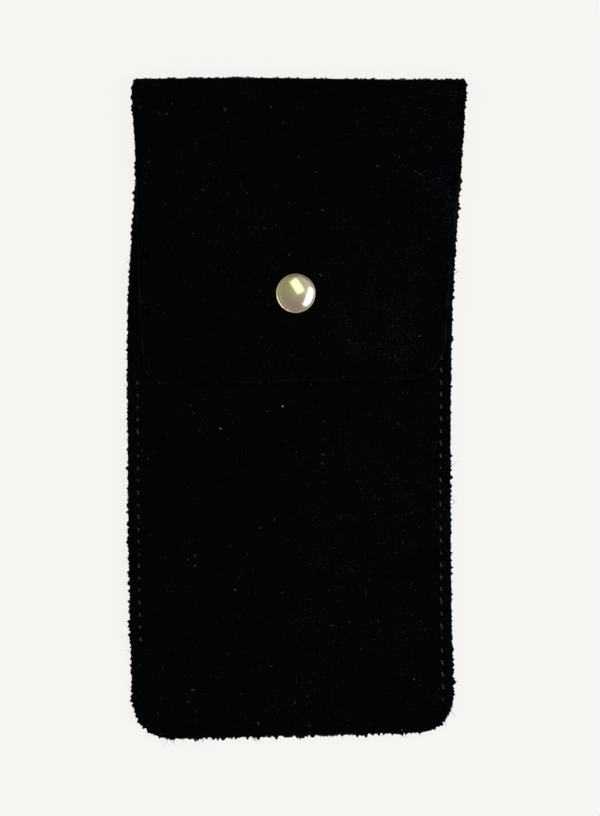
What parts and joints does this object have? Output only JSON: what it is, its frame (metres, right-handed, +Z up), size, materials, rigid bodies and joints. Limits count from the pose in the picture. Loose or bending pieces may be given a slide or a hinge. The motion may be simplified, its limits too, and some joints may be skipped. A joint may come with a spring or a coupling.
{
  "type": "soft glasses case",
  "caption": "Flat suede pocket for folded glasses, with a fold-over flap held by a metal ring-spring snap.",
  "frame": {"origin": "middle of the case's box, on the surface that the back panel lies on", "axes": "+X across the case, +Y from the foot to the fold, +Z up from the back panel to the flap"},
  "size_m": [0.0846, 0.165, 0.0167],
  "materials": {
    "suede": "black suede with a raised nap",
    "thread": "black polyester sewing thread",
    "snap_metal": "nickel-plated brass, satin",
    "cap_metal": "polished pale gold",
    "spring_steel": "drawn spring wire"
  },
  "bodies": {
    "pouch": {"back_panel": "suede", "front_panel": "suede", "flap_fold": "suede", "needle_thread": "thread", "bobbin_thread": "thread", "snap_post": "snap_metal", "snap_stud": "snap_metal"},
    "flap": {"flap": "suede", "snap_cap": "cap_metal", "snap_cap_rivet": "snap_metal", "snap_socket": "snap_metal", "snap_ring_spring": "spring_steel"}
  },
  "joints": [
    {"name": "flap_hinge", "type": "hinge", "parent": "pouch", "child": "flap", "pos_m": [0, 0.0803, 0.0022], "axis": [-1, 0, 0], "range_deg": [0, 158], "deforming": ["flap_fold"]}
  ]
}
